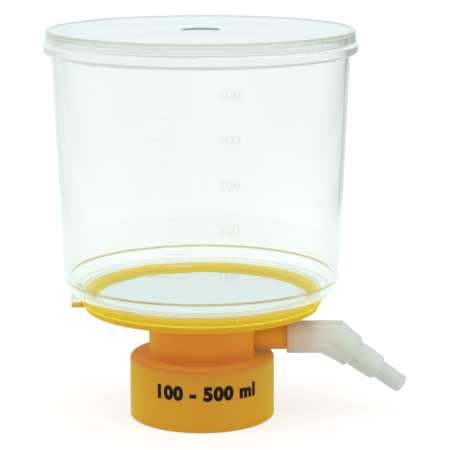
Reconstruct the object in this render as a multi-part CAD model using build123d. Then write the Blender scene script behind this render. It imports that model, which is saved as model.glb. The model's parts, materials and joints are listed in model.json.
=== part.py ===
from build123d import *
from math import cos, pi, radians
import os

# Bottle-top vacuum filter, 500 ml, for bottles with a 45 mm screw neck. Millimetres.
# Origin: centre of the collar's rim, the face the unit stands on. +Z is up, along the common
# axis of collar, dish, funnel and lid. +X is the direction of the side arm.

# ---- driving dimensions -------------------------------------------------------------------

# collar and its thread, for the bottle's neck
bottle_thread_d = 45.0        # outside diameter of the thread on the bottle
thread_play = 0.3             # radial play between the bottle's thread and the collar
thread_depth = 1.0            # height of the collar's thread above its wall
thread_pitch = 4.0
thread_turns = 2.0
thread_root_width = 2.2       # width of the ridge where it leaves the wall
thread_crest_width = 1.2
lead_in_height = 2.2          # plain wall below the first turn
run_out_height = 2.6          # plain wall above the last turn
collar_wall = 2.0
collar_top_thickness = 2.0
collar_top_round = 1.2
collar_rim_round = 0.4
seal_band_height = 2.6        # plain band that holds the sealing ring up

# sealing ring
gasket_thickness = 1.6
gasket_width = 5.2
gasket_pocket_depth = 0.5     # how far the ring's pocket reaches behind the band
gasket_play = 0.1

# hollow neck with the drain spout inside
neck_r = 18.2
neck_wall = 1.8
neck_height = 17.2            # collar's top to the dish's lower edge
neck_root_round = 0.6
spout_r = 5.0
spout_wall = 1.4
spout_above_seal = 1.2        # spout's tip to the sealing ring's underside
spout_tip_chamfer = 0.5

# membrane
filter_d = 75.0               # cut size of the disc
filter_seal_width = 1.4       # covered edge, so 72.2 mm of the disc is free
filter_thickness = 0.2
groove_play = 0.1             # around the membrane's edge

# dish
dish_band_proud = 0.3         # the lower band stands out from the wall above it
dish_band_height = 2.3
dish_band_taper = 1.2         # the band leans in towards the dish's lower edge
dish_height = 6.1
dish_edge_round = 0.3
dish_floor = 1.8
floor_fall = 1.8              # fall of the floor from the membrane's edge to the spout
membrane_drop = 2.9           # dish's top to the membrane's face
sill_width = 0.9              # flat top of the dish's wall
slope_width = 1.7             # from the sill down to the clamp ring
clamp_width = 2.1             # flat ring that the membrane's edge is sealed in
clamp_round = 0.7
clamp_lip = 0.3               # thickness of the ring above the membrane
nub_count = 4                 # short guide ribs on the dish's upper wall
nub_width = 1.0
nub_rise = 0.3
nub_turn_deg = 17.0
nub_lift = 0.6                # the ribs end above the lower band's edge

# drain ribs under the membrane
rib_width = 0.9
rib_count = 24
ring_width = 0.8
ring_count = 6
well_width = 1.8              # open floor round the spout, inside the first ring
short_rib_rings = 2           # most ribs start this many rings out
ribs_per_long_rib = 3         # one rib in this many runs in to the first ring
drain_gap = 0.9               # clear height between the floor's edge and the ribs' tops

# funnel
funnel_wall = 1.5
foot_overhang = 3.8           # the foot stands out from the dish's wall
foot_height = 4.9             # foot's lower edge to the corner where the wall starts
foot_flare = 2.25             # growth in radius from the foot to the corner
foot_round = 1.6
wall_height = 75.9            # corner to the rim flange's underside
wall_flare = 3.1              # growth in radius over the wall's height
ledge_thickness = 0.9         # ring that is welded on the dish's wall
ledge_lap = 1.3               # how far the ring laps over the dish's wall
flange_width = 2.65
flange_thickness = 3.4
flange_round = 0.8
lip_height = 2.6
lip_wall = 1.6
lip_round = 0.4
foot_inner_round = 1.0

# graduation ticks on the funnel's front
tick_step_ml = 25
tick_first_ml = 100
tick_last_ml = 500
tick_long_every_ml = 100
tick_rise = 0.15
tick_width = 0.4
tick_sweep_deg = 10.0
tick_long_sweep_deg = 17.0
tick_start_deg = 3.0          # the ticks' right end, left of the front as seen from -Y

# lid
lid_play = 0.35               # radial play between the lid's skirt and the lip
lid_skirt_wall = 1.1
lid_skirt_height = 2.6        # below the lid's plate
lid_skirt_flare = 0.35        # the skirt's lower edge stands out this far
lid_plate = 1.1
lid_bead_rise = 0.45
lid_bead_width = 1.3
lid_round = 0.35
vent_rise = 0.2               # vent ribs hold the plate this far above the lip
vent_width = 1.0
vent_count = 4
vent_turn_deg = 50.0
gate_r = 6.5
gate_depth = 0.7

# side arm
arm_rise = 5.7                # axis above the collar's top
arm_shown = 10.9              # free stretch between the neck and the connector
arm_r = 4.3
arm_bore_r = 2.3

# hose connector, a stepped elbow that turns on the side arm
swivel_play = 0.05
socket_depth = 8.8            # how much of the arm is inside the connector
socket_wall = 1.28
socket_round = 0.7
elbow_run = 6.6               # arm's end to the bend
elbow_angle = 35.0            # below the side arm's axis
hose_bore_r = 2.1
big_r = 5.95                  # the bend narrows to this radius
big_length = 9.1
middle_step = (4.64, 4.4)
middle_length = 10.4
tip_step = (3.24, 3.1)
tip_length = 10.5
step_round = 0.7
step_root_round = 0.25        # where each step's face meets the next, thinner step
seat_length = 3.0             # straight stretch of each step that a hose grips

# cotton plug in the side arm
plug_length = 9.0
plug_play = 0.05
plug_inset = 2.0              # from the arm's end
plug_round = 0.5

# alignment tabs on the funnel and the base, opposite the side arm
tab_width = 5.0
tab_thickness = 1.75
funnel_tab_height = 4.7
tab_gap = 0.1

# ---- sizes that follow ----------------------------------------------------------------------

thread_root_r = bottle_thread_d / 2 + thread_play
thread_crest_r = thread_root_r - thread_depth
thread_rise = thread_pitch * thread_turns
thread_top_z = lead_in_height + thread_rise + thread_root_width + run_out_height
seal_z = thread_top_z + seal_band_height
ceiling_z = seal_z + gasket_thickness
collar_height = ceiling_z + collar_top_thickness
collar_r = thread_root_r + collar_wall
neck_bore_r = neck_r - neck_wall
gasket_pocket_r = thread_crest_r + gasket_pocket_depth
gasket_r = gasket_pocket_r - gasket_play
spout_tip_z = seal_z + spout_above_seal
spout_bore_r = spout_r - spout_wall

filter_r = filter_d / 2
filter_seen_r = filter_r - filter_seal_width
clamp_r = filter_seen_r + clamp_width
dish_r = clamp_r + slope_width + sill_width
dish_band_r = dish_r + dish_band_proud
dish_bottom_r = dish_band_r - dish_band_taper
dish_bottom_z = collar_height + neck_height
dish_top_z = dish_bottom_z + dish_height
filter_top_z = dish_top_z - membrane_drop
filter_z = filter_top_z - filter_thickness
clamp_top_z = filter_top_z + clamp_lip
groove_r = filter_r + groove_play
floor_edge_r = filter_seen_r - clamp_width
floor_edge_z = filter_z - drain_gap
floor_centre_z = floor_edge_z - floor_fall

foot_r = dish_r + foot_overhang
corner_r = foot_r + foot_flare
wall_top_r = corner_r + wall_flare
flange_r = wall_top_r + flange_width
corner_z = dish_top_z + foot_height
flange_z = corner_z + wall_height
flange_top_z = flange_z + flange_thickness
lip_top_z = flange_top_z + lip_height
lip_inner_r = wall_top_r - funnel_wall
lip_r = lip_inner_r + lip_wall
wall_slope = wall_flare / wall_height
corner_inner_r = corner_r - funnel_wall
ledge_top_z = dish_top_z + ledge_thickness
foot_inner_r = foot_r - funnel_wall + foot_flare * ledge_thickness / foot_height
ledge_inner_r = dish_r - ledge_lap

plate_z = lip_top_z + vent_rise
plate_top_z = plate_z + lid_plate
bead_top_z = plate_top_z + lid_bead_rise
skirt_inner_r = lip_r + lid_play
skirt_r = skirt_inner_r + lid_skirt_wall
skirt_z = plate_z - lid_skirt_height

arm_height = collar_height + arm_rise
elbow_mouth = neck_r + arm_shown
arm_reach = elbow_mouth + socket_depth
elbow_bend = arm_reach + elbow_run
swivel_r = arm_r + swivel_play
socket_r = swivel_r + socket_wall
plug_end = arm_reach - plug_inset
plug_r = arm_bore_r - plug_play
tab_top_z = dish_top_z - funnel_tab_height
fuse = 0.3                    # how far a fused feature reaches into what carries it


# ---- helpers --------------------------------------------------------------------------------

def turned(points, rounds=None):
    """Solid of revolution about Z from (radius, height) corners; rounds gives some corners a radius."""
    rounds = rounds or {}
    corners = [(r, 0, z) for r, z in points]
    radii = [rounds.get(i, 0) for i in range(len(corners))]
    outline = FilletPolyline(*corners, radius=radii, close=True)
    return revolve(make_face(outline), Axis.Z)


def disc(radius, low, high):
    """Upright cylinder between two heights."""
    return Pos(0, 0, low) * extrude(Circle(radius), high - low)


def along_arm(radius, start, end):
    """Cylinder on the side arm's axis between two distances from the main axis."""
    return Pos(start, 0, arm_height) * Rot(0, 90, 0) * extrude(Circle(radius), end - start)


def wall_radius(height):
    """Outer radius of the funnel's wall at a height."""
    return corner_r + wall_slope * (height - corner_z)


def frustum_ml(r_low, r_high, height):
    """Volume between two circles."""
    cubic_mm = pi / 3 * height * (r_low ** 2 + r_low * r_high + r_high ** 2)
    return cubic_mm / 1000


def level_of(volume_ml):
    """Height of the liquid's surface for a volume in the funnel."""
    below_wall = frustum_ml(filter_seen_r, ledge_inner_r, membrane_drop)
    below_wall += frustum_ml(ledge_inner_r, corner_inner_r, foot_height)
    above = volume_ml - below_wall
    low, high = 0.0, wall_height
    while high - low > 0.001:
        middle = (low + high) / 2
        if frustum_ml(corner_inner_r, corner_inner_r + wall_slope * middle, middle) < above:
            low = middle
        else:
            high = middle
    return corner_z + low


# ---- filter base ----------------------------------------------------------------------------

def collar_shell():
    """Collar with its lead-in, thread wall, band, ring pocket and top; open at the neck."""
    return turned(
        [
            (thread_root_r, 0),
            (collar_r, 0),
            (collar_r, collar_height),
            (neck_bore_r, collar_height),
            (neck_bore_r, ceiling_z),
            (gasket_pocket_r, ceiling_z),
            (gasket_pocket_r, seal_z),
            (thread_crest_r, seal_z),
            (thread_crest_r, thread_top_z),
            (thread_root_r, thread_top_z),
        ],
        {0: collar_rim_round, 1: collar_rim_round, 2: collar_top_round},
    )


def thread_ridge():
    """Helical ridge inside the collar, its crest cut to a true cylinder."""
    start_z = lead_in_height + thread_root_width / 2
    helix = Helix(pitch=thread_pitch, height=thread_rise, radius=thread_root_r)
    slope = (thread_root_width - thread_crest_width) / 2 / thread_depth
    outer = thread_root_width / 2 + slope * fuse
    inner = thread_crest_width / 2 - slope * fuse
    r_out = thread_root_r + fuse
    r_in = thread_crest_r - fuse
    section = make_face(
        Polyline((r_out, 0, -outer), (r_out, 0, outer), (r_in, 0, inner), (r_in, 0, -inner), close=True)
    )
    ridge = Pos(0, 0, start_z) * sweep(section, path=helix, is_frenet=True)
    return ridge - disc(thread_crest_r, 0, collar_height)


def neck_and_dish():
    """Hollow neck, dish with its sloping floor, drain spout, and the ring that carries the membrane."""
    underside_z = floor_centre_z - dish_floor
    return turned(
        [
            (spout_bore_r, spout_tip_z + spout_tip_chamfer),
            (spout_bore_r + spout_tip_chamfer, spout_tip_z),
            (spout_r, spout_tip_z),
            (spout_r, underside_z),
            (neck_bore_r, underside_z),
            (neck_bore_r, ceiling_z),
            (neck_r, ceiling_z),
            (neck_r, underside_z),
            (dish_band_r - dish_floor, dish_bottom_z),
            (dish_bottom_r, dish_bottom_z),
            (dish_band_r, dish_bottom_z + dish_band_height),
            (dish_r, dish_bottom_z + dish_band_height + dish_band_proud),
            (dish_r, dish_top_z),
            (dish_r - sill_width, dish_top_z),
            (clamp_r, clamp_top_z),
            (filter_seen_r, clamp_top_z),
            (filter_seen_r, filter_top_z),
            (groove_r, filter_top_z),
            (groove_r, filter_z),
            (floor_edge_r, filter_z),
            (floor_edge_r, floor_edge_z),
            (spout_bore_r, floor_centre_z),
        ],
        {7: neck_root_round, 10: dish_edge_round, 14: clamp_round},
    )


def floor_height(radius):
    """Top of the dish's floor at a radius."""
    share = (radius - spout_bore_r) / (floor_edge_r - spout_bore_r)
    return floor_centre_z + share * (floor_edge_z - floor_centre_z)


def drain_ribs():
    """Radial ribs and concentric rings that hold the membrane above the floor."""
    first_r = spout_r + well_width
    ring_gap = (floor_edge_r - first_r) / ring_count
    ribs = []
    for i in range(ring_count):
        ring_r = first_r + ring_gap * i
        low = floor_height(ring_r) - fuse
        ribs.append(disc(ring_r + ring_width, low, filter_z) - disc(ring_r, low, filter_z))
    for i in range(rib_count):
        is_long = i % ribs_per_long_rib == 0
        start_r = first_r if is_long else first_r + ring_gap * short_rib_rings
        length = floor_edge_r - start_r + fuse
        rib = Pos(start_r + length / 2, 0, 0) * Box(length, rib_width, dish_height)
        rib = Pos(0, 0, filter_z - dish_height / 2) * rib
        ribs.append(Rot(0, 0, 360 / rib_count * i) * rib)
    return ribs


def guide_nubs():
    """Short upright ribs on the dish's upper wall."""
    height = dish_height - dish_band_height - nub_lift
    nub = Box(nub_rise + fuse, nub_width, height)
    nub = Pos(dish_r + (nub_rise - fuse) / 2, 0, dish_top_z - height / 2) * nub
    return [Rot(0, 0, nub_turn_deg - 90 + 360 / nub_count * i) * nub for i in range(nub_count)]


def base_tab():
    """Alignment tab on the dish, opposite the side arm."""
    length = foot_r - dish_bottom_r + fuse
    tab = Box(length, tab_width, tab_thickness)
    return Pos(length / 2 - foot_r, 0, tab_top_z - tab_gap - tab_thickness / 2) * tab


def filter_base():
    """The yellow moulding: collar, thread, neck, dish, spout, drain ribs, side arm and tab."""
    base = collar_shell() + neck_and_dish() + thread_ridge() + base_tab()
    base += along_arm(arm_r, neck_bore_r + fuse, arm_reach)
    for nub in guide_nubs():
        base += nub
    floor_keep = turned(
        [
            (spout_bore_r, floor_centre_z - dish_floor / 2),
            (dish_r - sill_width, floor_edge_z - dish_floor / 2),
            (dish_r - sill_width, filter_z),
            (spout_bore_r, filter_z),
        ]
    )
    for rib in drain_ribs():
        base += rib & floor_keep
    return base - along_arm(arm_bore_r, spout_r, arm_reach + fuse)


# ---- sealing ring, membrane, cotton plug ------------------------------------------------------

def bottle_gasket():
    """Flat ring in the collar's pocket."""
    ring = disc(gasket_r, seal_z, ceiling_z)
    return ring - disc(gasket_r - gasket_width, seal_z, ceiling_z)


def membrane():
    """Cut disc of filter film."""
    return disc(filter_r, filter_z, filter_top_z)


def cotton_plug():
    """Air filter in the bore of the side arm."""
    plug = along_arm(plug_r, plug_end - plug_length, plug_end)
    return fillet(plug.edges(), plug_round)


# ---- funnel ---------------------------------------------------------------------------------

def funnel_shell():
    """Foot, wall, rim flange and lip, one wall thickness through."""
    return turned(
        [
            (ledge_inner_r, dish_top_z),
            (foot_r, dish_top_z),
            (corner_r, corner_z),
            (wall_top_r, flange_z),
            (flange_r, flange_z),
            (flange_r, flange_top_z),
            (lip_r, flange_top_z),
            (lip_r, lip_top_z),
            (lip_inner_r, lip_top_z),
            (lip_inner_r, flange_z),
            (corner_inner_r, corner_z),
            (foot_inner_r, ledge_top_z),
            (ledge_inner_r, ledge_top_z),
        ],
        {
            1: foot_round,
            3: flange_round,
            4: flange_round,
            5: flange_round,
            8: lip_round,
            11: foot_inner_round,
        },
    )


def tick(volume_ml):
    """One raised graduation line on the wall."""
    height = level_of(volume_ml)
    is_long = volume_ml % tick_long_every_ml == 0
    sweep_deg = tick_long_sweep_deg if is_long else tick_sweep_deg
    r_low = wall_radius(height - tick_width / 2)
    r_high = wall_radius(height + tick_width / 2)
    section = make_face(
        Polyline(
            (r_low - fuse, 0, height - tick_width / 2),
            (r_low + tick_rise, 0, height - tick_width / 2),
            (r_high + tick_rise, 0, height + tick_width / 2),
            (r_high - fuse, 0, height + tick_width / 2),
            close=True,
        )
    )
    line = revolve(section, Axis.Z, revolution_arc=sweep_deg)
    return Rot(0, 0, -90 - tick_start_deg - sweep_deg) * line


def funnel_tab():
    """Tab under the foot that meets the base's tab."""
    reach = foot_r - dish_band_r - tab_gap
    height = funnel_tab_height + ledge_thickness / 2
    tab = Box(reach, tab_width, height)
    return Pos(reach / 2 - foot_r, 0, tab_top_z + height / 2) * tab


def funnel():
    """The clear moulding."""
    body = funnel_shell() + funnel_tab()
    for volume_ml in range(tick_first_ml, tick_last_ml + 1, tick_step_ml):
        body += tick(volume_ml)
    return body


# ---- lid ------------------------------------------------------------------------------------

def lid():
    """Plate with a raised bead, a skirt, vent ribs on the lip, and the round gate recess."""
    body = turned(
        [
            (0, plate_z),
            (skirt_inner_r, plate_z),
            (skirt_inner_r, skirt_z),
            (skirt_r + lid_skirt_flare, skirt_z),
            (skirt_r, bead_top_z),
            (skirt_r - lid_bead_width, bead_top_z),
            (skirt_r - lid_bead_width - lid_bead_rise, plate_top_z),
            (0, plate_top_z),
        ],
        {3: lid_round, 4: lid_round, 5: lid_round / 2, 6: lid_round},
    )
    body += disc(gate_r + lid_plate, plate_z - gate_depth, plate_z + fuse)
    body -= disc(gate_r, plate_top_z - gate_depth, bead_top_z)
    vent_length = skirt_inner_r - lip_inner_r
    vent = Box(vent_length, vent_width, vent_rise + fuse)
    vent = Pos(lip_inner_r + vent_length / 2, 0, plate_z + (fuse - vent_rise) / 2) * vent
    for i in range(vent_count):
        body += Rot(0, 0, -90 + vent_turn_deg + 360 / vent_count * i) * vent
    return body


# ---- hose connector ---------------------------------------------------------------------------

def barb():
    """The three steps, turned about their own axis, from where the bend ends outwards."""
    middle_start = big_length
    tip_start = big_length + middle_length
    end = tip_start + tip_length
    return turned(
        [
            (0, big_length - seat_length),
            (big_r, big_length - seat_length),
            (big_r, middle_start),
            (middle_step[0], middle_start),
            (middle_step[0], middle_start + seat_length),
            (middle_step[1], tip_start),
            (tip_step[0], tip_start),
            (tip_step[0], tip_start + seat_length),
            (tip_step[1], end),
            (0, end),
        ],
        {
            2: step_round,
            3: step_root_round,
            5: step_round,
            6: step_root_round,
            8: step_round,
        },
    )


def bend():
    """From the slanted cut through the socket to the first step's round section."""
    cut = Ellipse(socket_r / cos(radians(elbow_angle)), socket_r)
    end = Pos(0, 0, big_length - seat_length) * Circle(big_r)
    return loft([cut.face(), end.face()])


def split_box(plane_at, size):
    """Large block whose top face lies in a plane, to keep what is below that plane."""
    return plane_at * Pos(0, 0, -size / 2) * Box(size * 2, size * 2, size)


def hose_connector():
    """Elbow: a socket on the side arm, a bend, and a stepped barb for the vacuum hose."""
    at_bend = Pos(elbow_bend, 0, arm_height) * Rot(0, 90 + elbow_angle, 0)
    length = big_length + middle_length + tip_length
    socket = along_arm(socket_r, elbow_mouth, elbow_bend + socket_r)
    mouth = socket.faces().sort_by(Axis.X)[0]
    socket = fillet(mouth.edges(), socket_round)
    socket &= split_box(at_bend, elbow_bend)
    body = socket + at_bend * bend() + at_bend * barb()
    body -= along_arm(swivel_r, elbow_mouth - fuse, arm_reach + swivel_play)
    body -= along_arm(hose_bore_r, arm_reach, elbow_bend)
    body -= at_bend * Sphere(hose_bore_r)
    body -= at_bend * extrude(Circle(hose_bore_r), length + fuse)
    return body


# ---- write one file for each piece --------------------------------------------------------------

pieces = {
    "filter_base": filter_base(),
    "bottle_gasket": bottle_gasket(),
    "membrane": membrane(),
    "cotton_plug": cotton_plug(),
    "funnel": funnel(),
    "lid": lid(),
    "hose_connector": hose_connector(),
}

os.makedirs("parts", exist_ok=True)
for name, solid in pieces.items():
    export_step(solid, f"parts/{name}.step")
    print(name, round(solid.volume / 1000, 2), "ml")
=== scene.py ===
# %% [markdown]
# # A bottle-top vacuum filter
#
# This lesson dresses a filter unit for a laboratory bench. Liquid is poured in a clear funnel, a pump
# draws it through a white membrane, and it drips in the bottle that the yellow collar is screwed on.
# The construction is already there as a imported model: seven mouldings, at their real size in metres,
# standing on the collar's rim with +Z up. Here each of them gets its finish, and what the construction
# leaves out is modelled: the numerals of the graduation and the print on the collar.

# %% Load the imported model
import json
import math

import bpy
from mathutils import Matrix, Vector


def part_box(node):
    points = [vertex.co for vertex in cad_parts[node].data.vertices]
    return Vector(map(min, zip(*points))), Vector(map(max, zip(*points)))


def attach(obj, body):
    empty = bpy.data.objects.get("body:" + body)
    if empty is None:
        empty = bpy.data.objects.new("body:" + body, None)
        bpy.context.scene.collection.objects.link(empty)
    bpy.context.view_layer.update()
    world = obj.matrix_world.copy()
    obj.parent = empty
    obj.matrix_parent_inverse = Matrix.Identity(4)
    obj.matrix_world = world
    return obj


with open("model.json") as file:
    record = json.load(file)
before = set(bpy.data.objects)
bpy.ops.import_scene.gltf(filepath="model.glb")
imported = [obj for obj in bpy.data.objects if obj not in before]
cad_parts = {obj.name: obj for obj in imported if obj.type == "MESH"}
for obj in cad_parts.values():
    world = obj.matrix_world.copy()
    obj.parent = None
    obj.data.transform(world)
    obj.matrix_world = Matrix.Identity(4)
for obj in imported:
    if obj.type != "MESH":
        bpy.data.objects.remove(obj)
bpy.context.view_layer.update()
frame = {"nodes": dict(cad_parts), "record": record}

nodes = frame["nodes"]
record = frame["record"]

# %% [markdown]
# ## Places
#
# Everything that is added later sits on a moulding, so its place is read from the model instead of being
# typed in.

# %% Read the main places from the model
MM = 0.001

base_low, base_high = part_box("filter_base")
_, funnel_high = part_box("funnel")
_, lid_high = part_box("lid")
_, membrane_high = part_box("membrane")
arm_height = record["behaviour"]["joints"][0]["pos_m"][2]

foot_z = base_high.z
corner_z = foot_z + 4.9 * MM
corner_r = 46.85 * MM
flange_z = foot_z + 80.8 * MM
wall_top_r = 49.95 * MM
collar_r = 24.8 * MM
wall_slope = (wall_top_r - corner_r) / (flange_z - corner_z)


def wall_radius(height):
    """Outer radius of the funnel's tapered wall."""
    return corner_r + wall_slope * (height - corner_z)


print("unit stands", round(lid_high.z / MM, 1), "mm high")
print("its rim is", round(2 * funnel_high.y / MM, 1), "mm wide")
print("its membrane lies", round(membrane_high.z / MM, 1), "mm up")

# %% [markdown]
# ## Camera
#
# A long lens, a little above the rim and looking straight at the graduated front. The long lens keeps
# the wall's taper honest, and the slight tilt shows the lid's plate and the membrane as flat ellipses.

# %% Place the camera
lens_mm = 149.37
camera_distance = 0.6352
camera_tilt = math.radians(11.334)
camera_roll = math.radians(-0.097)
aim = (0.00796, 0.0, 0.06613)

camera_data = bpy.data.cameras.new("camera")
camera_data.lens = lens_mm
camera_data.sensor_width = 36.0
camera_data.clip_end = 50.0
camera = bpy.data.objects.new("camera", camera_data)
bpy.context.scene.collection.objects.link(camera)
camera.location = (
    aim[0],
    aim[1] - camera_distance * math.cos(camera_tilt),
    aim[2] + camera_distance * math.sin(camera_tilt),
)
camera.rotation_mode = "ZYX"
camera.rotation_euler = (math.pi / 2 - camera_tilt, 0.0, camera_roll)
bpy.context.scene.camera = camera
bpy.context.scene.view_settings.view_transform = "Standard"
print("camera at", [round(v, 3) for v in camera.location])

# %% [markdown]
# ## Studio
#
# A studio's white table has two jobs that pull apart: it should look plain white, and it should not flood
# the object with light until the colours wash out. A path tracer can keep them apart, because the Light
# Path node tells what kind of ray asks. The helpers below sort rays that look, straight, in gloss or through
# glass, from rays that only gather light.

# %% Tell what is looked at from what lights things
def new_node(tree, kind, **settings):
    """Add a shader node and set its properties."""
    node = tree.nodes.new(kind)
    for name, value in settings.items():
        setattr(node, name, value)
    return node


def seen_directly(tree):
    """1 for what is seen plainly, in gloss or through glass, and 0 for the light that falls on things."""
    path = new_node(tree, "ShaderNodeLightPath")
    total = path.outputs["Is Camera Ray"]
    for kind in ("Is Glossy Ray", "Is Transmission Ray"):
        either = new_node(tree, "ShaderNodeMath", operation="MAXIMUM")
        tree.links.new(total, either.inputs[0])
        tree.links.new(path.outputs[kind], either.inputs[1])
        total = either.outputs[0]
    return total


def mixed_by(tree, factor, first, second):
    """Shader: first where factor is 0, second where it is 1."""
    mix = new_node(tree, "ShaderNodeMixShader")
    tree.links.new(factor, mix.inputs[0])
    tree.links.new(first, mix.inputs[1])
    tree.links.new(second, mix.inputs[2])
    return mix.outputs[0]


print("helpers: new_node, seen_directly, mixed_by")

# %% [markdown]
# Clear plastic has no colour of its own: it is drawn by what it bends and mirrors. In a wholly white room
# it would vanish. Dark cards beside it could draw it, as people who light glass do it, and this is the same
# thing in numbers: gloss finds white behind the unit, and greys at its sides and towards the front. Rims and
# corners pick them up and show as fine lines. The room and the table use the same description, one by
# direction and the other by place.

# %% Describe what the gloss mirrors
MIRROR_TINT = (0.92, 0.985, 0.99, 1.0)
FRONT_GREY = 0.45
LEFT_GREY = 0.85
RIGHT_GREY = 0.55


def fading(tree, value, start, end, first, last):
    """Soft ramp: first where value is at start, last where it is at end."""
    ramp = new_node(tree, "ShaderNodeMapRange", interpolation_type="SMOOTHSTEP")
    for name, number in (("From Min", start), ("From Max", end), ("To Min", first), ("To Max", last)):
        ramp.inputs[name].default_value = number
    tree.links.new(value, ramp.inputs["Value"])
    return ramp.outputs["Result"]


def product(tree, a, b):
    """Output of a times b."""
    node = new_node(tree, "ShaderNodeMath", operation="MULTIPLY")
    tree.links.new(a, node.inputs[0])
    tree.links.new(b, node.inputs[1])
    return node.outputs[0]


def surroundings(tree, vector, front_span, side_span):
    """Brightness that gloss mirrors: 1 behind the unit, and greyer towards the front and the sides."""
    way = new_node(tree, "ShaderNodeSeparateXYZ")
    tree.links.new(vector, way.inputs[0])
    near, far = front_span
    front = fading(tree, way.outputs["Y"], -near, -far, 1.0, FRONT_GREY)
    near, far = side_span
    right = fading(tree, way.outputs["X"], near, far, 1.0, RIGHT_GREY)
    left = fading(tree, way.outputs["X"], -near, -far, 1.0, LEFT_GREY)
    return product(tree, front, product(tree, right, left))


print("mirrored greys: front", FRONT_GREY, "left", LEFT_GREY, "right", RIGHT_GREY)

# %% [markdown]
# The room is the world itself. It gives most of the light, evenly from all sides, so that no shadow is
# deep and pale plastic keeps its colour.

# %% Make the room
ROOM_LIGHT = (0.96, 0.98, 1.0, 1.0)
ROOM_LIGHT_STRENGTH = 0.70
ROOM_FRONT_SPAN = (-0.05, 0.70)
ROOM_SIDE_SPAN = (0.70, 0.97)


def make_room():
    """World: white to look at, tinted greys for gloss to mirror, and even soft light for the rest."""
    world = bpy.data.worlds.new("studio_room")
    bpy.context.scene.world = world
    world.use_nodes = True
    tree = world.node_tree
    tree.nodes.clear()
    path = new_node(tree, "ShaderNodeLightPath")
    place = new_node(tree, "ShaderNodeTexCoord")
    light = new_node(tree, "ShaderNodeBackground")
    light.inputs["Color"].default_value = ROOM_LIGHT
    light.inputs["Strength"].default_value = ROOM_LIGHT_STRENGTH
    plain = new_node(tree, "ShaderNodeBackground")
    mirrored = new_node(tree, "ShaderNodeBackground")
    mirrored.inputs["Color"].default_value = MIRROR_TINT
    grey = surroundings(tree, place.outputs["Generated"], ROOM_FRONT_SPAN, ROOM_SIDE_SPAN)
    tree.links.new(grey, mirrored.inputs["Strength"])
    looked_at = mixed_by(tree, path.outputs["Is Reflection Ray"], plain.outputs[0], mirrored.outputs[0])
    room = mixed_by(tree, seen_directly(tree), light.outputs[0], looked_at)
    tree.links.new(room, new_node(tree, "ShaderNodeOutputWorld").inputs["Surface"])


make_room()
print("room light:", ROOM_LIGHT_STRENGTH)

# %% [markdown]
# The table is one large plane. Plain white would lose the object's shadow, so what is looked at is part
# glow and part matt grey, which together come to white where the lamps reach it.

# %% Lay the table
TABLE_SIZE = 40.0
TABLE_GLOW = 0.66
TABLE_SHADE = (0.36, 0.36, 0.36, 1.0)
TABLE_BOUNCE = (0.8, 0.8, 0.8, 1.0)
TABLE_FRONT_SPAN = (-0.06, 0.60)
TABLE_SIDE_SPAN = (0.38, 0.52)


def make_table():
    """Large pale floor that is seen as white, and a little darker in the object's shadow."""
    bpy.ops.object.select_all(action="DESELECT")
    bpy.ops.mesh.primitive_plane_add(size=TABLE_SIZE, location=(0, 0, base_low.z))
    floor = bpy.context.object
    floor.name = "studio_floor"
    material = bpy.data.materials.new("studio_floor")
    material.use_nodes = True
    tree = material.node_tree
    tree.nodes.clear()
    path = new_node(tree, "ShaderNodeLightPath")
    place = new_node(tree, "ShaderNodeTexCoord")
    pale = new_node(tree, "ShaderNodeBsdfDiffuse")
    pale.inputs["Color"].default_value = TABLE_BOUNCE
    shade = new_node(tree, "ShaderNodeBsdfDiffuse")
    shade.inputs["Color"].default_value = TABLE_SHADE
    white = new_node(tree, "ShaderNodeEmission")
    white.inputs["Strength"].default_value = TABLE_GLOW
    mirrored = new_node(tree, "ShaderNodeEmission")
    mirrored.inputs["Color"].default_value = MIRROR_TINT
    grey = surroundings(tree, place.outputs["Object"], TABLE_FRONT_SPAN, TABLE_SIDE_SPAN)
    tree.links.new(grey, mirrored.inputs["Strength"])
    both = new_node(tree, "ShaderNodeAddShader")
    tree.links.new(shade.outputs[0], both.inputs[0])
    tree.links.new(white.outputs[0], both.inputs[1])
    looked_at = mixed_by(tree, path.outputs["Is Reflection Ray"], both.outputs[0], mirrored.outputs[0])
    surface = mixed_by(tree, seen_directly(tree), pale.outputs[0], looked_at)
    tree.links.new(surface, new_node(tree, "ShaderNodeOutputMaterial").inputs["Surface"])
    floor.data.materials.append(material)
    return floor


print("table:", make_table().name)

# %% [markdown]
# Three lamps model the shapes a little: one overhead and one at each side. Sun lamps that come from a
# wide patch of sky act like softboxes over the whole table, so the table is lit evenly up to its edge. The
# gloss doesn't mirror them, because the greys above already say what it mirrors.

# %% Hang the lamps
def soft_sun(name, comes_from, strength, softness_degrees):
    """Far, wide lamp. strength / pi is how bright a white face turned to it looks."""
    data = bpy.data.lights.new(name, "SUN")
    data.energy = strength
    data.angle = math.radians(softness_degrees)
    lamp = bpy.data.objects.new(name, data)
    bpy.context.scene.collection.objects.link(lamp)
    lamp.visible_glossy = False
    lamp.rotation_mode = "QUATERNION"
    lamp.rotation_quaternion = Vector(comes_from).to_track_quat("Z", "Y")


soft_sun("overhead_softbox", (-0.1, -0.15, 1.0), 0.9, 70)
soft_sun("left_softbox", (-0.95, -0.45, 0.45), 0.85, 50)
soft_sun("right_softbox", (0.95, -0.45, 0.45), 0.95, 50)

# %% [markdown]
# ## Finishes
#
# The mouldings are all plastic, but no two look alike: tinted and a little cloudy, polished and clear,
# or milky and waxy. What they share is the skin that a mould leaves: a very fine grain, slow waves
# where the melt has shrunk, and pigment that isn't quite even. That skin is one node group, built once,
# and each finish sets its own amounts.

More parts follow.
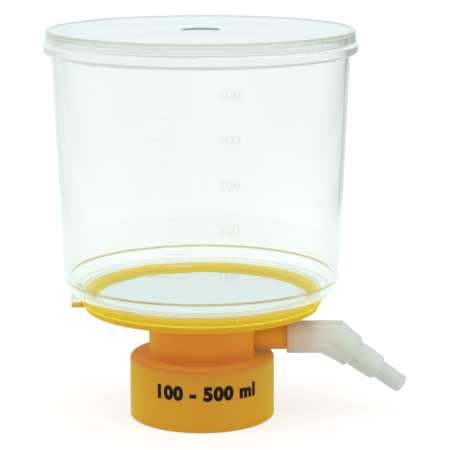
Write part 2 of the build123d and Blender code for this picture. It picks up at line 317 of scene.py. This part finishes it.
# %% Start a node group
def new_group(name, inputs, outputs):
    """Empty shader node group with named sockets."""
    group = bpy.data.node_groups.new(name, "ShaderNodeTree")
    for label, kind, value in inputs:
        socket = group.interface.new_socket(label, in_out="INPUT", socket_type=kind)
        socket.default_value = value
    for label, kind in outputs:
        group.interface.new_socket(label, in_out="OUTPUT", socket_type=kind)
    return group, new_node(group, "NodeGroupInput"), new_node(group, "NodeGroupOutput")


print("helper: new_group")

# %% [markdown]
# The skin mixes three noises. A soft cloud says where the pigment is deeper and the gloss duller, a slow
# wave is where the melt has shrunk, and a fine grain is the mould's own. A picture of each could be
# painted, but noise has no seams and shows no repeat. All three read Object coordinates, so they stay on
# the moulding when it turns.

# %% Build the shared skin
def moulded_skin():
    """Group: colour with cloudy pigment, roughness with soft patches, and a height for a bump."""
    group, given, out = new_group(
        "moulded_skin",
        [
            ("Color", "NodeSocketColor", (0.8, 0.8, 0.8, 1.0)),
            ("Deep Color", "NodeSocketColor", (0.7, 0.7, 0.7, 1.0)),
            ("Cloud Scale", "NodeSocketFloat", 60.0),
            ("Cloud Amount", "NodeSocketFloat", 0.3),
            ("Roughness", "NodeSocketFloat", 0.3),
            ("Roughness Spread", "NodeSocketFloat", 0.1),
            ("Grain Scale", "NodeSocketFloat", 2500.0),
            ("Wave Scale", "NodeSocketFloat", 40.0),
            ("Grain Share", "NodeSocketFloat", 0.3),
        ],
        [
            ("Color", "NodeSocketColor"),
            ("Roughness", "NodeSocketFloat"),
            ("Height", "NodeSocketFloat"),
        ],
    )
    link = group.links.new
    place = new_node(group, "ShaderNodeTexCoord").outputs["Object"]

    def noise(scale_name, detail):
        node = new_node(group, "ShaderNodeTexNoise")
        node.inputs["Detail"].default_value = detail
        link(place, node.inputs["Vector"])
        link(given.outputs[scale_name], node.inputs["Scale"])
        return node.outputs["Fac"]

    cloud = noise("Cloud Scale", 3.0)
    grain = noise("Grain Scale", 1.0)
    wave = noise("Wave Scale", 1.0)

    amount = new_node(group, "ShaderNodeMath", operation="MULTIPLY")
    link(cloud, amount.inputs[0])
    link(given.outputs["Cloud Amount"], amount.inputs[1])
    pigment = new_node(group, "ShaderNodeMix", data_type="RGBA")
    link(amount.outputs[0], pigment.inputs["Factor"])
    link(given.outputs["Color"], pigment.inputs["A"])
    link(given.outputs["Deep Color"], pigment.inputs["B"])
    link(pigment.outputs["Result"], out.inputs["Color"])

    patches = new_node(group, "ShaderNodeMath", operation="MULTIPLY_ADD")
    link(cloud, patches.inputs[0])
    link(given.outputs["Roughness Spread"], patches.inputs[1])
    link(given.outputs["Roughness"], patches.inputs[2])
    link(patches.outputs[0], out.inputs["Roughness"])

    relief = new_node(group, "ShaderNodeMix", data_type="FLOAT")
    link(given.outputs["Grain Share"], relief.inputs["Factor"])
    link(wave, relief.inputs["A"])
    link(grain, relief.inputs["B"])
    link(relief.outputs["Result"], out.inputs["Height"])
    return group


SKIN = moulded_skin()
print("skin group:", SKIN.name, "with", len(SKIN.nodes), "nodes")

# %% [markdown]
# A finish is a Principled shader fed by the skin. The helper below starts one and returns its pieces, so
# that each finish can set the plain numbers on the shader itself.

# %% Start a finish
def new_finish(name, skin_values, bump_height, bump_strength=1.0):
    """Material whose colour, roughness and bump come from the skin group."""
    material = bpy.data.materials.new(name)
    material.use_nodes = True
    tree = material.node_tree
    shader = tree.nodes["Principled BSDF"]
    skin = new_node(tree, "ShaderNodeGroup", node_tree=SKIN)
    for label, value in skin_values.items():
        skin.inputs[label].default_value = value
    bump = new_node(tree, "ShaderNodeBump")
    bump.inputs["Distance"].default_value = bump_height
    bump.inputs["Strength"].default_value = bump_strength
    tree.links.new(skin.outputs["Height"], bump.inputs["Height"])
    tree.links.new(skin.outputs["Color"], shader.inputs["Base Color"])
    tree.links.new(skin.outputs["Roughness"], shader.inputs["Roughness"])
    tree.links.new(bump.outputs["Normal"], shader.inputs["Normal"])
    return material, tree, shader, skin


def wear(piece, material):
    """Give a piece one finish all over, and say so."""
    piece.data.materials.clear()
    piece.data.materials.append(material)
    print(piece.name, "wears", material.name, "on", len(piece.data.polygons), "faces")


print("helpers: new_finish, wear")

# %% [markdown]
# Two of the plastics change colour along the part, and the change is painted light and shade: deeper
# where light that has come through a thick or a hidden place would be deeper, and an orange glow where a
# yellow part would shine through. A ramp with stops in millimetres along one axis of the part says where.
# It could be painted by hand on the faces, but stops read more easily and move with one number.

# %% Let a colour follow the part
def colour_along(tree, axis, stops):
    """Colour that follows one axis of the part, from (millimetres, colour) stops."""
    place = new_node(tree, "ShaderNodeTexCoord")
    parts = new_node(tree, "ShaderNodeSeparateXYZ")
    tree.links.new(place.outputs["Object"], parts.inputs[0])
    start, end = stops[0][0], stops[-1][0]
    share = new_node(tree, "ShaderNodeMapRange")
    share.inputs["From Min"].default_value = start * MM
    share.inputs["From Max"].default_value = end * MM
    tree.links.new(parts.outputs[axis], share.inputs["Value"])
    ramp = new_node(tree, "ShaderNodeValToRGB")
    elements = ramp.color_ramp.elements
    while len(elements) < len(stops):
        elements.new(0.5)
    for element, (at, colour) in zip(elements, stops):
        element.position = (at - start) / (end - start)
        element.color = (*colour, 1.0)
    tree.links.new(share.outputs["Result"], ramp.inputs["Fac"])
    return ramp.outputs["Color"]


def deeper(tree, colour, by):
    """The same colour, multiplied."""
    mix = new_node(tree, "ShaderNodeMix", data_type="RGBA", blend_type="MULTIPLY")
    mix.inputs["Factor"].default_value = 1.0
    mix.inputs["B"].default_value = (*by, 1.0)
    tree.links.new(colour, mix.inputs["A"])
    return mix.outputs["Result"]


print("helpers: colour_along, deeper")

# %% [markdown]
# Light also gathers where a round wall bends or ends, and here it is painted on: the funnel's foot and
# corner get thin olive rings of painted glow, and the lid's rim fine grey lines of painted reflection.
# The next group marks such rings. It measures how far a point is from a circle about the part's axis.
# The circle may grow with height, which makes it a cone, and so the same group finds what stands proud
# of the tapered wall.

# %% Build the ring mask
def ring_mask():
    """Group: 1 on a band about the part's axis, 0 outside its half depth and half height."""
    group, given, out = new_group(
        "ring_mask",
        [
            ("Radius", "NodeSocketFloat", 0.05),
            ("Half Depth", "NodeSocketFloat", 0.001),
            ("Height", "NodeSocketFloat", 0.05),
            ("Half Height", "NodeSocketFloat", 0.001),
            ("Slope", "NodeSocketFloat", 0.0),
        ],
        [("Mask", "NodeSocketFloat")],
    )
    link = group.links.new

    def maths(operation, first, second):
        node = new_node(group, "ShaderNodeMath", operation=operation)
        link(first, node.inputs[0])
        link(second, node.inputs[1])
        return node.outputs[0]

    def nearness(gap, half):
        """1 in the middle of the band, falling to 0 at its border."""
        size = new_node(group, "ShaderNodeMath", operation="ABSOLUTE")
        link(gap, size.inputs[0])
        return fading(group, maths("DIVIDE", size.outputs[0], given.outputs[half]), 0.5, 1.0, 1.0, 0.0)

    place = new_node(group, "ShaderNodeTexCoord").outputs["Object"]
    parts = new_node(group, "ShaderNodeSeparateXYZ")
    link(place, parts.inputs[0])
    flat = new_node(group, "ShaderNodeVectorMath", operation="MULTIPLY")
    flat.inputs[1].default_value = (1.0, 1.0, 0.0)
    link(place, flat.inputs[0])
    from_axis = new_node(group, "ShaderNodeVectorMath", operation="LENGTH")
    link(flat.outputs["Vector"], from_axis.inputs[0])

    above = maths("SUBTRACT", parts.outputs["Z"], given.outputs["Height"])
    cone = maths("ADD", given.outputs["Radius"], maths("MULTIPLY", above, given.outputs["Slope"]))
    beyond = maths("SUBTRACT", from_axis.outputs["Value"], cone)
    link(product(group, nearness(beyond, "Half Depth"), nearness(above, "Half Height")), out.inputs["Mask"])
    return group


RING_MASK = ring_mask()
print("ring mask:", RING_MASK.name, "with", len(RING_MASK.nodes), "nodes")

# %% [markdown]
# A finish places the group once for each of its rings, with that ring's sizes, and multiplies its colour by
# a tint where the mask is 1. A second mask can keep the rings to one part of the circle. Each finish keeps
# its rings in a table by name: radius, half depth, height, half height and tint.

# %% Tint a colour along rings
def masked_ring(tree, radius, half_depth, height, half_height, slope=0.0):
    """Mask of one ring, with its sizes in metres."""
    ring = new_node(tree, "ShaderNodeGroup", node_tree=RING_MASK)
    sizes = (radius, half_depth, height, half_height, slope)
    for label, value in zip(("Radius", "Half Depth", "Height", "Half Height", "Slope"), sizes):
        ring.inputs[label].default_value = value
    return ring.outputs["Mask"]


def ringed(tree, colour, rings, where=None):
    """The colour, multiplied along rings. where is a mask that limits them all."""
    for *sizes, tint in rings.values():
        mask = masked_ring(tree, *sizes)
        if where is not None:
            mask = product(tree, mask, where)
        mix = new_node(tree, "ShaderNodeMix", data_type="RGBA", blend_type="MULTIPLY")
        mix.inputs["B"].default_value = (*tint, 1.0)
        tree.links.new(mask, mix.inputs["Factor"])
        tree.links.new(colour, mix.inputs["A"])
        colour = mix.outputs["Result"]
    return colour


print("helpers: masked_ring, ringed")

# %% [markdown]
# ## Yellow base
#
# The dish, neck, collar and side arm are one moulding in a warm yellow plastic that lets a little light
# in. Where it sees the light it is a clear yellow, and where it only sees itself, as round the neck, the
# light has passed through its pigment many times and turns orange. Scattering under the surface and a
# saturated colour do most of that by themselves, and the colour ramp by height adds painted shade: deeper
# orange round the neck and shoulder under the dish, and a lighter yellow up the dish. Four rings of painted
# light change it: a lighter, yellower tab, as light through the thin moulding would make it, a painted
# highlight along the edge of the dish's lower band, a paler painted reflection on the dish's top edge, and
# a lighter side arm.

# %% Finish the yellow base
# Painted shade and light by height: deeper orange round the neck and shoulder under the dish, lighter yellow
# up the dish.
BASE_COLOURS_AND_SHADE = (
    (0.0, (0.62, 0.300, 0.022)),
    (14.0, (0.59, 0.280, 0.024)),
    (19.5, (0.57, 0.265, 0.028)),
    (21.0, (0.58, 0.225, 0.045)),
    (21.2, (0.80, 0.215, 0.075)),
    (23.0, (0.68, 0.215, 0.030)),
    (27.0, (0.75, 0.290, 0.030)),
    (37.5, (0.77, 0.345, 0.030)),
    (39.5, (0.58, 0.320, 0.012)),
    (42.0, (0.66, 0.465, 0.022)),
    (44.5, (0.78, 0.620, 0.085)),
)
# Rings of painted light: a lighter tab, a painted highlight on the band's edge, a paler painted reflection on
# the top edge, and a lighter side arm.
BASE_LIGHT_RINGS = {
    "tab": (43.2 * MM, 2.2 * MM, foot_z - 4.0 * MM, 2.5 * MM, (1.05, 1.65, 6.0)),
    "band edge": (41.0 * MM, 0.6 * MM, foot_z - 3.8 * MM, 0.45 * MM, (1.22, 1.45, 3.2)),
    "top edge": (41.0 * MM, 0.6 * MM, foot_z - 0.2 * MM, 1.4 * MM, (0.85, 0.91, 3.4)),
    "side arm": (24.0 * MM, 5.6 * MM, arm_height, 5.5 * MM, (1.05, 1.15, 1.4)),
}


def yellow_plastic():
    """Tinted, slightly cloudy plastic with a satin gloss."""
    material, tree, shader, skin = new_finish(
        "yellow_plastic",
        {
            "Cloud Scale": 70.0,
            "Cloud Amount": 0.6,
            "Roughness": 0.36,
            "Roughness Spread": 0.12,
        },
        bump_height=0.00004,
    )
    colour = ringed(tree, colour_along(tree, "Z", BASE_COLOURS_AND_SHADE), BASE_LIGHT_RINGS)
    tree.links.new(colour, skin.inputs["Color"])
    tree.links.new(deeper(tree, colour, (0.96, 0.88, 0.80)), skin.inputs["Deep Color"])
    shader.inputs["Subsurface Weight"].default_value = 0.4
    shader.inputs["Subsurface Radius"].default_value = (1.0, 0.45, 0.08)
    shader.inputs["Subsurface Scale"].default_value = 0.003
    shader.inputs["Specular IOR Level"].default_value = 0.0
    shader.inputs["Sheen Weight"].default_value = 0.5
    shader.inputs["Sheen Roughness"].default_value = 0.55
    shader.inputs["Sheen Tint"].default_value = (0.80, 1.0, 0.05, 1.0)
    shader.inputs["Coat Weight"].default_value = 0.12
    shader.inputs["Coat Roughness"].default_value = 0.12
    return material


wear(nodes["filter_base"], yellow_plastic())

# %% [markdown]
# ## Clear plastic
#
# The funnel and lid are crystal clear mouldings. A ray that a wall has mirrored inside itself leaves it
# straight at the next face, as if the edge had let it out, and light on its way to the base and membrane
# goes straight through. Without that the thick rims would swallow light and turn black. The helper mixes
# a Transparent shader in for one kind of ray at a time.

# %% Let light through a shader
PASSING_TINT = (0.97, 0.985, 0.982, 1.0)


def open_for(tree, shader_output, ray_kind, tint):
    """Let one kind of ray straight through a shader."""
    path = new_node(tree, "ShaderNodeLightPath")
    through = new_node(tree, "ShaderNodeBsdfTransparent")
    through.inputs["Color"].default_value = tint
    return mixed_by(tree, path.outputs[ray_kind], shader_output, through.outputs[0])


print("helper: open_for, with tint", PASSING_TINT[:3])

# %% [markdown]
# A round rim is looked at face on in front and along its length at its left and right ends, where the eye
# meets more plastic. Cards beside the unit would show that in a real studio. Here a soft mask across the
# unit says where the ends are, so that a few rings of painted shade can darken them there.

# %% Mark the left and right ends
ENDS_SPAN = (24.0 * MM, 46.0 * MM)


def left_and_right_ends(tree):
    """Mask: 0 over the middle of a round moulding, rising to 1 towards its left and right ends."""
    place = new_node(tree, "ShaderNodeTexCoord")
    parts = new_node(tree, "ShaderNodeSeparateXYZ")
    across = new_node(tree, "ShaderNodeMath", operation="ABSOLUTE")
    tree.links.new(place.outputs["Object"], parts.inputs[0])
    tree.links.new(parts.outputs["X"], across.inputs[0])
    return fading(tree, across.outputs[0], *ENDS_SPAN, 0.0, 1.0)


print("helper: left_and_right_ends, between", [round(x / MM) for x in ENDS_SPAN], "mm")

# %% [markdown]
# The plastic itself is a Principled shader with full transmission. Its wall has one tint face on and a
# deeper one along its length, and the Layer Weight node tells which is seen. The deeper tint is partly the
# longer path through the plastic and partly painted shade, for the darker surroundings that an edge bends
# in. Along an edge the plastic is centimetres deep instead of a millimetre, and there its own faint straw
# tint shows, which a Volume Absorption node adds by depth.

# %% Mould clear plastic
# The second tint of each pair is darker along the wall's length: partly the longer path through the plastic,
# partly painted shade.
FUNNEL_TINTS = ((0.965, 0.985, 0.984, 1.0), (0.920, 0.950, 0.945, 1.0))
LID_TINTS = ((0.945, 0.960, 0.975, 1.0), (0.880, 0.905, 0.925, 1.0))
CLEAR_IOR = 1.5
CLEAR_WAVES = 0.00006
ASLANT_SPAN = (0.15, 1.0)
STRAW = (0.86, 0.82, 0.62, 1.0)
STRAW_DENSITY = 22.0
NO_RINGS = {}


def clear_plastic(name, tints, roughness, wave_height, rings=NO_RINGS, end_rings=NO_RINGS):
    """Polished clear plastic with slow waves. tints are for a wall seen face on and along its length."""
    material, tree, shader, skin = new_finish(
        name,
        {
            "Cloud Scale": 30.0,
            "Cloud Amount": 0.5,
            "Roughness": roughness,
            "Roughness Spread": 0.01,
            "Wave Scale": 30.0,
            "Grain Share": 0.0,
        },
        bump_height=wave_height,
    )
    aslant = new_node(tree, "ShaderNodeLayerWeight")
    aslant.inputs["Blend"].default_value = 0.5
    edge = fading(tree, aslant.outputs["Facing"], *ASLANT_SPAN, 0.0, 1.0)
    tint = new_node(tree, "ShaderNodeMix", data_type="RGBA")
    tint.inputs["A"].default_value, tint.inputs["B"].default_value = tints
    tree.links.new(edge, tint.inputs["Factor"])
    colour = ringed(tree, tint.outputs["Result"], rings)
    if end_rings:
        colour = ringed(tree, colour, end_rings, left_and_right_ends(tree))
    tree.links.new(colour, skin.inputs["Color"])
    tree.links.new(deeper(tree, colour, (0.99, 0.995, 0.995)), skin.inputs["Deep Color"])
    shader.inputs["Transmission Weight"].default_value = 1.0
    shader.inputs["IOR"].default_value = CLEAR_IOR
    output = tree.nodes["Material Output"]
    surface = shader.outputs[0]
    for ray_kind in ("Is Reflection Ray", "Is Diffuse Ray", "Is Shadow Ray"):
        surface = open_for(tree, surface, ray_kind, PASSING_TINT)
    tree.links.new(surface, output.inputs["Surface"])
    inside = new_node(tree, "ShaderNodeVolumeAbsorption")
    inside.inputs["Color"].default_value = STRAW
    inside.inputs["Density"].default_value = STRAW_DENSITY
    tree.links.new(inside.outputs[0], output.inputs["Volume"])
    return material, tree, shader, skin


print("clear plastic: funnel", FUNNEL_TINTS, "lid", LID_TINTS)

# %% [markdown]
# The funnel has rings of painted light where its foot, corner and flange end, and on a tab under the foot
# that meets the base's tab: olive glow at the foot, corner and tab, a faint painted shade on the lower
# wall, and grey painted reflections at the flange. Its raised graduation lines are as clear as the wall,
# so only a slight frost shows them.

# %% Finish the funnel
FUNNEL_ROUGHNESS = 0.015
LINE_ROUGHNESS = 0.22
LINE_MIDDLE = 0.17 * MM
LINE_HALF_DEPTH = 0.18 * MM
# Rings of painted light: olive glow on tab, corner and foot, faint shade on the lower wall, grey reflections
# at the flange.
FUNNEL_LIGHT_RINGS = {
    "tab": (43.2 * MM, 3.2 * MM, foot_z - 2.5 * MM, 2.5 * MM, (0.72, 0.76, 0.60)),
    "corner": (46.1 * MM, 1.4 * MM, corner_z, 0.5 * MM, (0.66, 0.58, 0.26)),
    "lower wall": (47.3 * MM, 3.0 * MM, corner_z + 6.0 * MM, 7.5 * MM, (0.965, 0.970, 0.955)),
    "foot": (44.0 * MM, 1.6 * MM, foot_z + 0.2 * MM, 0.6 * MM, (0.80, 0.74, 0.45)),
    "flange": (51.5 * MM, 4.0 * MM, flange_z + 2.4 * MM, 4.2 * MM, (0.935, 0.945, 0.96)),
    "flange edge": (52.3 * MM, 1.2 * MM, flange_z + 0.2 * MM, 0.5 * MM, (0.90, 0.93, 0.93)),
}


def funnel_plastic():
    """Clear plastic whose raised graduation lines are frosted, so that they can be read."""
    material, tree, shader, skin = clear_plastic(
        "clear_plastic", FUNNEL_TINTS, FUNNEL_ROUGHNESS, CLEAR_WAVES, FUNNEL_LIGHT_RINGS
    )
    middle = (corner_z + flange_z) / 2
    line_radius = wall_radius(middle) + LINE_MIDDLE
    proud = masked_ring(tree, line_radius, LINE_HALF_DEPTH, middle, flange_z - corner_z, wall_slope)
    frosted = new_node(tree, "ShaderNodeMix", data_type="FLOAT")
    frosted.inputs["B"].default_value = LINE_ROUGHNESS
    tree.links.new(proud, frosted.inputs["Factor"])
    tree.links.new(skin.outputs["Roughness"], frosted.inputs["A"])
    tree.links.new(frosted.outputs["Result"], shader.inputs["Roughness"])
    return material


wear(nodes["funnel"], funnel_plastic())

# %% [markdown]
# The lid is the same plastic, with a painted grey reflection across its plate. It is drawn by painted
# reflection lines on the bead and skirt of its rim, and by a painted dark arc in the round gate mark in
# its middle, where the plastic entered the mould. At its left and right ends the rim is seen along its
# length, and there its bead and upper skirt get painted shade.

# %% Finish the lid
LID_ROUGHNESS = 0.02
# Rings of painted reflection and shade: the plate's grey, the gate's grey floor and dark arc, the lines of
# bead and skirt.
LID_LIGHT_RINGS = {
    "plate": (0.0, 98.0 * MM, lid_high.z - 0.9 * MM, 1.2 * MM, (0.85, 0.87, 0.90)),
    "gate floor": (0.0, 8.0 * MM, lid_high.z - 1.15 * MM, 0.4 * MM, (0.80, 0.83, 0.84)),
    "gate edge": (6.5 * MM, 0.5 * MM, lid_high.z - 0.8 * MM, 0.7 * MM, (0.22, 0.25, 0.26)),
    "bead": (51.3 * MM, 2.4 * MM, lid_high.z - 0.1 * MM, 0.5 * MM, (0.78, 0.81, 0.79)),
    "bead edge": (52.2 * MM, 1.2 * MM, lid_high.z - 0.7 * MM, 0.4 * MM, (0.68, 0.71, 0.66)),
    "upper line": (52.2 * MM, 1.2 * MM, lid_high.z - 2.0 * MM, 0.4 * MM, (0.84, 0.84, 0.78)),
    "lower line": (52.2 * MM, 1.2 * MM, lid_high.z - 3.0 * MM, 0.4 * MM, (0.88, 0.90, 0.87)),
    "skirt": (52.2 * MM, 1.6 * MM, lid_high.z - 2.0 * MM, 3.0 * MM, (1.03, 1.01, 0.95)),
}
# Painted shade on the rim's left and right ends.
LID_END_SHADE_RINGS = {
    "upper skirt": (52.0 * MM, 2.0 * MM, lid_high.z - 1.0 * MM, 1.2 * MM, (0.74, 0.72, 0.64)),
    "bead": (51.3 * MM, 2.4 * MM, lid_high.z - 0.1 * MM, 0.5 * MM, (0.86, 0.85, 0.83)),
}

lid_plastic, *_ = clear_plastic(
    "clear_lid_plastic", LID_TINTS, LID_ROUGHNESS, CLEAR_WAVES, LID_LIGHT_RINGS, LID_END_SHADE_RINGS
)
wear(nodes["lid"], lid_plastic)

# %% [markdown]
# ## Membrane
#
# The filter itself is a matt white disc of felted plastic film, so fine that only a faint grain shows.

# %% Finish the membrane
def membrane_film():
    """Matt white film with a very fine felted grain."""
    material, _, shader, _ = new_finish(
        "membrane_film",
        {
            "Color": (0.735, 0.785, 0.78, 1.0),
            "Deep Color": (0.70, 0.76, 0.76, 1.0),
            "Cloud Scale": 120.0,
            "Cloud Amount": 0.5,
            "Roughness": 0.75,
            "Roughness Spread": 0.1,
            "Grain Scale": 5000.0,
            "Grain Share": 0.6,
        },
        bump_height=0.00003,
    )
    shader.inputs["Specular IOR Level"].default_value = 0.25
    return material


wear(nodes["membrane"], membrane_film())

# %% [markdown]
# ## Hose connector
#
# The stepped elbow is a soft, waxy plastic like a milk bottle's. Light wanders through its whole wall, so
# the steps cast hardly any shade. The yellow stub inside the socket shows through a little, and the orange
# blush over the socket is painted glow in the colour ramp, which turns greyer and darker towards the tip.

# %% Finish the connector
HALF_SHADE = (0.72, 0.72, 0.68, 1.0)
# Painted glow: orange over the socket where the yellow stub would shine through; greyer and darker towards
# the tip.
CONNECTOR_COLOURS_AND_GLOW = (
    (29.0, (0.99, 0.78, 0.52)),
    (34.0, (1.00, 0.92, 0.77)),
    (40.0, (0.84, 0.83, 0.74)),
    (50.0, (0.70, 0.75, 0.69)),
    (69.1, (0.64, 0.71, 0.68)),
)


def milky_plastic():
    """Waxy plastic that lets light wander through its wall."""
    material, tree, shader, skin = new_finish(
        "milky_plastic",
        {
            "Cloud Scale": 90.0,
            "Cloud Amount": 0.6,
            "Roughness": 0.34,
            "Roughness Spread": 0.1,
        },
        bump_height=0.00004,
    )
    colour = colour_along(tree, "X", CONNECTOR_COLOURS_AND_GLOW)
    tree.links.new(colour, skin.inputs["Color"])
    tree.links.new(deeper(tree, colour, (0.95, 0.95, 0.92)), skin.inputs["Deep Color"])
    shader.inputs["Transmission Weight"].default_value = 0.45
    shader.inputs["IOR"].default_value = 1.35
    shader.inputs["Subsurface Weight"].default_value = 1.0
    shader.inputs["Subsurface Radius"].default_value = (1.0, 0.95, 0.85)
    shader.inputs["Subsurface Scale"].default_value = 0.007
    surface = shader.outputs[0]
    for ray_kind in ("Is Diffuse Ray", "Is Shadow Ray"):
        surface = open_for(tree, surface, ray_kind, HALF_SHADE)
    tree.links.new(surface, tree.nodes["Material Output"].inputs["Surface"])
    return material


wear(nodes["hose_connector"], milky_plastic())

# %% [markdown]
# ## Sealing ring
#
# Two small pieces hide inside. The first is the ring under the collar's roof, which seals on the bottle's
# mouth. It is soft white rubber with a dull skin and a few darker specks, so the shared skin does it with a
# small, strong cloud.

# %% Finish the sealing ring
def seal_rubber():
    """Dull, faintly speckled soft rubber."""
    material, _, shader, _ = new_finish(
        "seal_rubber",
        {
            "Color": (0.68, 0.68, 0.65, 1.0),
            "Deep Color": (0.58, 0.58, 0.54, 1.0),
            "Cloud Scale": 180.0,
            "Cloud Amount": 0.7,
            "Roughness": 0.55,
            "Roughness Spread": 0.15,
            "Grain Scale": 3500.0,
            "Grain Share": 0.7,
        },
        bump_height=0.00003,
    )
    shader.inputs["Sheen Weight"].default_value = 0.15
    return material


wear(nodes["bottle_gasket"], seal_rubber())

# %% [markdown]
# ## Cotton plug
#
# The other hidden piece is the plug in the side arm, which keeps dust out of the bottle. It is wadded cotton.
# Hairs could be modelled, but at this size a bump is enough: its fibres are a noise that is stretched along
# the arm and distorted.

# %% Finish the cotton plug
def cotton_wadding():
    """White wadding: a fibre bump over a soft, clouded skin."""
    material, tree, shader, _ = new_finish(
        "cotton_wadding",
        {
            "Color": (0.80, 0.79, 0.75, 1.0),
            "Deep Color": (0.62, 0.61, 0.56, 1.0),
            "Cloud Scale": 700.0,
            "Cloud Amount": 0.9,
            "Roughness": 0.9,
            "Roughness Spread": 0.08,
        },
        bump_height=0.0002,
    )
    place = new_node(tree, "ShaderNodeTexCoord")
    along_arm = new_node(tree, "ShaderNodeMapping")
    along_arm.inputs["Scale"].default_value = (0.25, 1.0, 1.0)
    fibres = new_node(tree, "ShaderNodeTexNoise")
    fibres.inputs["Scale"].default_value = 2500.0
    fibres.inputs["Distortion"].default_value = 2.5
    tree.links.new(place.outputs["Object"], along_arm.inputs["Vector"])
    tree.links.new(along_arm.outputs["Vector"], fibres.inputs["Vector"])
    tree.links.new(fibres.outputs["Fac"], tree.nodes["Bump"].inputs["Height"])
    shader.inputs["Sheen Weight"].default_value = 0.5
    return material


wear(nodes["cotton_plug"], cotton_wadding())

# %% [markdown]
# ## Writing on round walls
#
# The funnel has raised numerals beside every long graduation line, and the collar has a line of black
# print. Both start as flat text, which Blender extrudes to a thin plate. The plate is made a mesh, cut in
# narrow upright strips so that it can bend, and then rolled round the wall: the way along the text becomes
# an angle, and the plate's depth is added to the wall's radius.

# %% Roll flat text round a wall
STRIP_DEGREES = 3.0
SAME_POINT = 0.001 * MM


def rolled_text(name, words, size, spacing, boldness, rise, sunk, turn_degrees, height, radius_at):
    """Mesh letters on a round wall: rise above it, sunk below it, turned from the front to the right."""
    bpy.ops.object.select_all(action="DESELECT")
    bpy.ops.object.text_add(location=(0, 0, 0))
    piece = bpy.context.object
    piece.name = name
    piece.data.body = words
    piece.data.align_x = "CENTER"
    piece.data.align_y = "CENTER"
    piece.data.size = size
    piece.data.space_character = spacing
    piece.data.offset = boldness
    piece.data.extrude = (rise + sunk) / 2
    bpy.ops.object.convert(target="MESH")
    radius = radius_at(height)
    strips = int(math.degrees(piece.dimensions.x / 2 / radius) / STRIP_DEGREES)
    bpy.ops.object.mode_set(mode="EDIT")
    bpy.ops.mesh.select_all(action="SELECT")
    bpy.ops.mesh.remove_doubles(threshold=SAME_POINT)
    for strip in range(-strips, strips + 1):
        bpy.ops.mesh.select_all(action="SELECT")
        across = radius * math.radians(strip * STRIP_DEGREES)
        bpy.ops.mesh.bisect(plane_co=(across, 0, 0), plane_no=(1, 0, 0))
    bpy.ops.mesh.select_all(action="SELECT")
    bpy.ops.mesh.normals_make_consistent(inside=False)
    bpy.ops.object.mode_set(mode="OBJECT")
    for vertex in piece.data.vertices:
        turn = math.radians(turn_degrees) + vertex.co.x / radius
        z = height + vertex.co.y
        out = radius_at(z) + (rise - sunk) / 2 + vertex.co.z
        vertex.co = (out * math.sin(turn), -out * math.cos(turn), z)
    piece.data.update()
    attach(piece, "filter_unit")
    return piece


print("helper: rolled_text, in strips of", STRIP_DEGREES, "degrees")

# %% [markdown]
# The long graduation lines stand for whole hundreds of millilitres, and each gets its numeral. The lines
# are part of the funnel, so their heights are measured on its mesh: they are the only points that stand
# proud of the tapered wall, and the long ones reach furthest round it.

# %% Find the long graduation lines
LEAST_RISE = 0.1 * MM
LONG_LINE_TURN = -17.0


def long_line_heights():
    """Heights of the long graduation lines: what stands proud of the wall and reaches furthest round."""
    edges = set()
    for vertex in nodes["funnel"].data.vertices:
        x, y, z = vertex.co
        if not corner_z + MM < z < flange_z - MM:
            continue
        proud = math.hypot(x, y) - wall_radius(z)
        if proud > LEAST_RISE and math.degrees(math.atan2(x, -y)) < LONG_LINE_TURN:
            edges.add(round(z / MM, 2))
    edges = sorted(edges)
    return [(low + high) / 2 * MM for low, high in zip(edges[::2], edges[1::2])]


line_heights = long_line_heights()
print("long lines at", [round(height / MM, 1) for height in line_heights], "mm")

# %% [markdown]
# Each numeral is a thin plate of the funnel's own plastic with a slight frost. A lower index bends less of
# what lies behind it, so it stays as faint as the lines are.

# %% Raise the numerals beside the graduation
NUMERAL_SIZE = 4.8 * MM
NUMERAL_SPACING = 1.0
NUMERAL_BOLDNESS = 0.0
NUMERAL_RISE = 0.15 * MM
NUMERAL_SUNK = 0.05 * MM
NUMERAL_TURN = 11.0
NUMERAL_ROUGHNESS = 0.08
NUMERAL_WAVES = 0.00002
NUMERAL_IOR = 1.25


def numeral_plastic():
    """The funnel's plastic with a slight frost, bent little, so that the numerals stay faint."""
    material, _, shader, _ = clear_plastic(
        "frosted_numerals", FUNNEL_TINTS, NUMERAL_ROUGHNESS, NUMERAL_WAVES
    )
    shader.inputs["IOR"].default_value = NUMERAL_IOR
    return material


frosted = numeral_plastic()
for count, height in enumerate(line_heights, start=1):
    words = str(100 * count)
    piece = rolled_text(
        f"numeral_{words}",
        words,
        NUMERAL_SIZE,
        NUMERAL_SPACING,
        NUMERAL_BOLDNESS,
        NUMERAL_RISE,
        NUMERAL_SUNK,
        NUMERAL_TURN,
        height,
        wall_radius,
    )
    wear(piece, frosted)

# %% [markdown]
# ## Print
#
# The print is a bold line of black ink that a pad has pressed on the collar. Here it says no more than the
# scale's first and last line. Ink is hardly thicker than a hair, so the letters stand out by a twentieth of a
# millimetre, and it is a little rough where it has dried.

# %% Print the collar
PRINT_SIZE = 6.3 * MM
PRINT_SPACING = 1.12
PRINT_BOLDNESS = 0.36 * MM
PRINT_RISE = 0.05 * MM
PRINT_SUNK = 0.05 * MM
PRINT_TURN = 4.0
PRINT_HEIGHT = 13.3 * MM


def print_ink():
    """Black ink, dull and a little uneven."""
    material, _, shader, _ = new_finish(
        "print_ink",
        {
            "Color": (0.006, 0.004, 0.004, 1.0),
            "Deep Color": (0.014, 0.009, 0.007, 1.0),
            "Cloud Scale": 500.0,
            "Cloud Amount": 0.8,
            "Roughness": 0.45,
            "Roughness Spread": 0.2,
            "Grain Scale": 4000.0,
            "Grain Share": 0.6,
        },
        bump_height=0.00002,
    )
    shader.inputs["Specular IOR Level"].default_value = 0.12
    return material


collar_print = rolled_text(
    "collar_print",
    "100 - 500 ml",
    PRINT_SIZE,
    PRINT_SPACING,
    PRINT_BOLDNESS,
    PRINT_RISE,
    PRINT_SUNK,
    PRINT_TURN,
    PRINT_HEIGHT,
    lambda height: collar_r,
)
wear(collar_print, print_ink())
